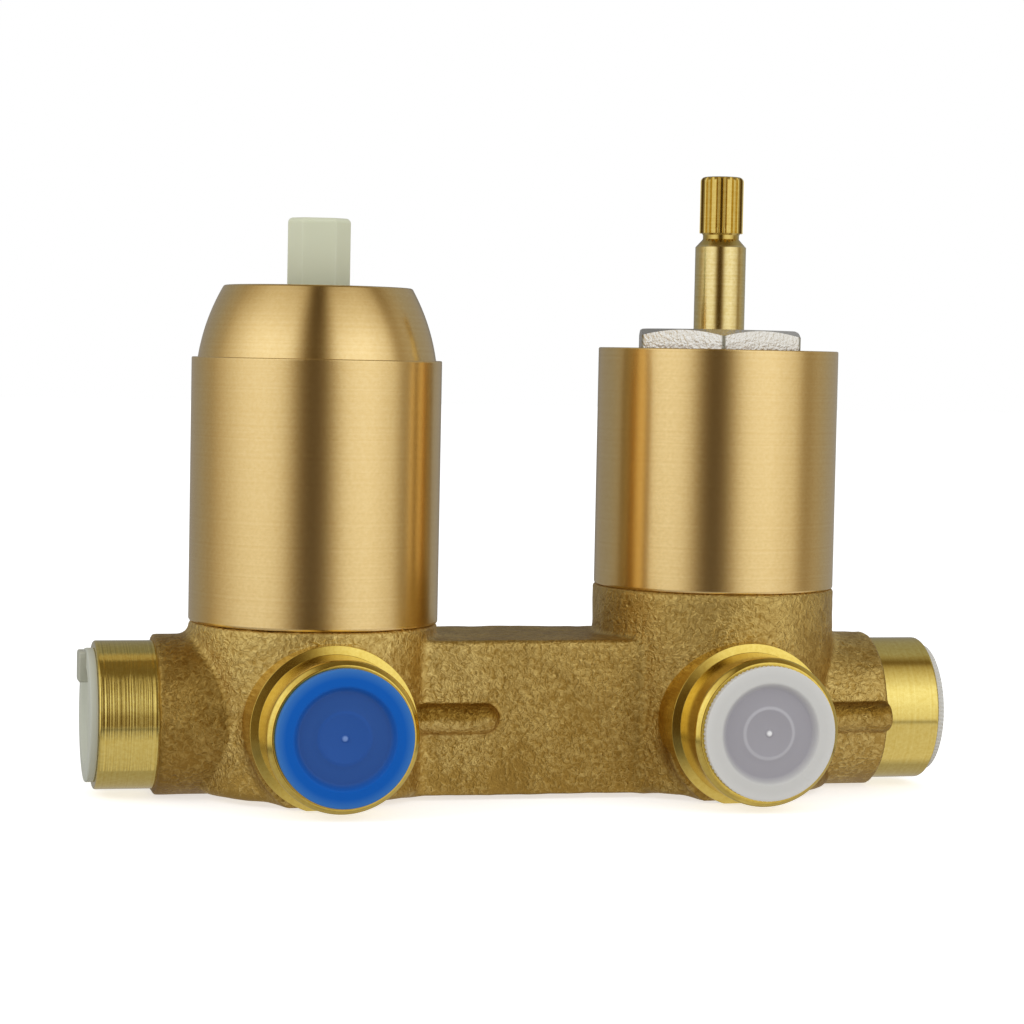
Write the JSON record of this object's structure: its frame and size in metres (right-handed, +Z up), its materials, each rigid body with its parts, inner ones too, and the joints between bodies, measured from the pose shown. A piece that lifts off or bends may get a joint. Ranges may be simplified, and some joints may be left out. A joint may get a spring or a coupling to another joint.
{
  "type": "concealed bath shower mixer",
  "caption": "Concealed brass bath shower mixer valve with a mixing tower, a diverter tower and plugged pipe ports.",
  "frame": {"origin": "on the flat base, midway between the two tower axes", "axes": "+X from the mixing tower to the diverter tower, +Z up the towers, -Y towards the cold inlet"},
  "size_m": [0.1598, 0.072, 0.1131],
  "materials": {
    "cast_brass": "sand cast, turned at the ports",
    "satin_brass": "fine turned satin",
    "turned_brass": "turned",
    "plated_brass": "dull plating over a rough forging",
    "blue_polythene": "moulded",
    "red_polythene": "moulded",
    "pale_polythene": "moulded",
    "white_polythene": "moulded",
    "ivory_acetal": "moulded",
    "grey_acetal": "moulded",
    "valve_ceramic": "lapped",
    "black_rubber": "moulded",
    "pin_steel": "ground",
    "gasket_fibre": "pressed fibre"
  },
  "bodies": {
    "valve_body": {"cast_body": "cast_brass", "cold_inlet_plug": "blue_polythene", "hot_inlet_plug": "red_polythene", "spout_outlet_plug": "pale_polythene", "handset_outlet_plug": "white_polythene", "shower_outlet_plug": "white_polythene", "mixer_sleeve": "satin_brass", "mixer_dome_cap": "satin_brass", "mixer_sleeve_o_rings": "black_rubber", "cartridge_ring_nut": "turned_brass", "cartridge_housing": "grey_acetal", "cartridge_base": "grey_acetal", "cartridge_base_seals": "black_rubber", "fixed_ceramic_disc": "valve_ceramic", "diverter_sleeve": "satin_brass", "diverter_sleeve_o_rings": "black_rubber", "diverter_bonnet": "plated_brass", "bonnet_gasket": "gasket_fibre", "spindle_thrust_washer": "grey_acetal", "diverter_fixed_disc": "valve_ceramic", "diverter_seat_seal": "black_rubber"},
    "mixing_turret": {"stem_guide": "grey_acetal", "stem_pivot_pin": "pin_steel"},
    "mixing_lever": {"mixer_stem": "ivory_acetal"},
    "mixing_disc": {"moving_ceramic_disc": "valve_ceramic", "disc_carrier": "grey_acetal"},
    "diverter": {"diverter_spindle": "turned_brass", "spindle_o_rings": "black_rubber", "diverter_moving_disc": "valve_ceramic"}
  },
  "joints": [
    {"name": "mixer_turn", "type": "hinge", "parent": "valve_body", "child": "mixing_turret", "pos_m": [-0.03775, 0, 0.069], "axis": [0, 0, 1], "range_deg": [-41, 59]},
    {"name": "mixer_tilt", "type": "hinge", "parent": "mixing_turret", "child": "mixing_lever", "pos_m": [-0.03775, 0, 0.069], "axis": [0.1564, 0.9877, 0], "range_deg": [-12.5, 12.5]},
    {"name": "disc_slide", "type": "slide", "parent": "mixing_turret", "child": "mixing_disc", "axis": [0.9877, -0.1564, 0], "range_m": [-0.0025, 0.0025]},
    {"name": "diverter_turn", "type": "hinge", "parent": "valve_body", "child": "diverter", "pos_m": [0.03775, 0, 0.09], "axis": [0, 0, 1], "range_deg": [-120, 120]}
  ],
  "couplings": [
    {"joint": "disc_slide", "follows": "mixer_tilt", "m_per_rad": -0.011}
  ]
}
